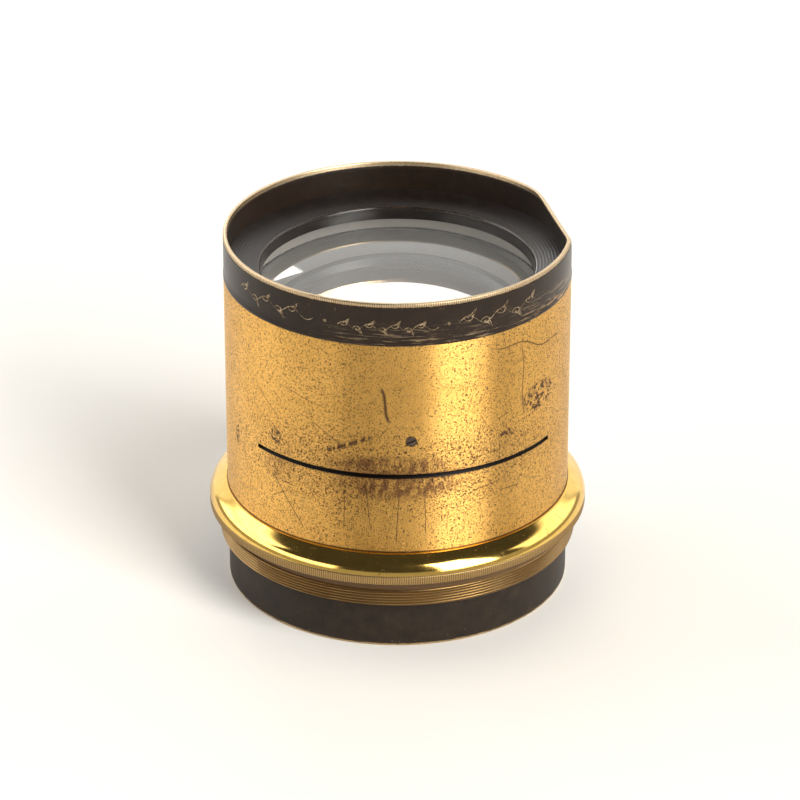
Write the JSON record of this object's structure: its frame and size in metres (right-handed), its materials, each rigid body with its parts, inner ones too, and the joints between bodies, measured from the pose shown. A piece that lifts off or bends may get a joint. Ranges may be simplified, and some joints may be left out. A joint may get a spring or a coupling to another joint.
{
  "type": "brass barrel lens",
  "caption": "Old brass barrel camera lens with a black hood, a slot for loose stops, a knurled mount ring with a fine thread, and cells that unscrew.",
  "frame": {"origin": "centre of the rear rim, in the plane on which the lens stands", "axes": "+Z along the optical axis towards the front of the lens; the stop slot faces -Y"},
  "size_m": [0.1106, 0.1106, 0.1082],
  "materials": {
    "lacquered_brass": "old gold-tinted lacquer with fine dark pitting",
    "ring_brass": "polished turned brass, a little brown in the grooves",
    "inner_brass": "plain brass",
    "black_lacquer": "semi-gloss black lacquer on brass, worn at the edges",
    "worn_black": "black-brown lacquer on brass, worn to metal at the rim",
    "black_inner": "matt black paint on brass",
    "dark_screw": "blackened steel",
    "optical_glass": "polished optical glass with ground edges"
  },
  "bodies": {
    "barrel": {"barrel_tube": "lacquered_brass", "mount_ring": "ring_brass", "stop_plate_front": "black_inner", "stop_plate_rear": "black_inner", "stop_rail": "black_inner", "stop_carrier_ring": "black_inner", "stop_plate_screws": "inner_brass", "barrel_screws": "dark_screw"},
    "front_group": {"front_glass_1": "optical_glass", "front_glass_2": "optical_glass", "front_glass_3": "optical_glass", "front_glass_4": "optical_glass"},
    "front_cell": {"front_hood": "black_lacquer", "front_lens_cell": "black_lacquer", "front_retaining_ring": "black_inner"},
    "rear_group": {"rear_glass_1": "optical_glass", "rear_glass_2": "optical_glass", "rear_glass_3": "optical_glass", "rear_glass_4": "optical_glass"},
    "rear_cell": {"rear_lens_cell": "worn_black", "rear_retaining_ring": "black_inner"}
  },
  "joints": [
    {"name": "front_cell_travel", "type": "slide", "parent": "barrel", "child": "front_group", "axis": [0, 0, 1], "range_m": [0, 0.0045]},
    {"name": "front_cell_turn", "type": "hinge", "parent": "front_group", "child": "front_cell", "pos_m": [0, 0, 0.1], "axis": [0, 0, 1], "range_deg": [0, 2160]},
    {"name": "rear_cell_travel", "type": "slide", "parent": "barrel", "child": "rear_group", "axis": [0, 0, -1], "range_m": [0, 0.0045]},
    {"name": "rear_cell_turn", "type": "hinge", "parent": "rear_group", "child": "rear_cell", "pos_m": [0, 0, 0.01], "axis": [0, 0, -1], "range_deg": [0, 2160]}
  ],
  "couplings": [
    {"joint": "front_cell_travel", "follows": "front_cell_turn", "m_per_rad": 0.00011937},
    {"joint": "rear_cell_travel", "follows": "rear_cell_turn", "m_per_rad": 0.00011937}
  ]
}
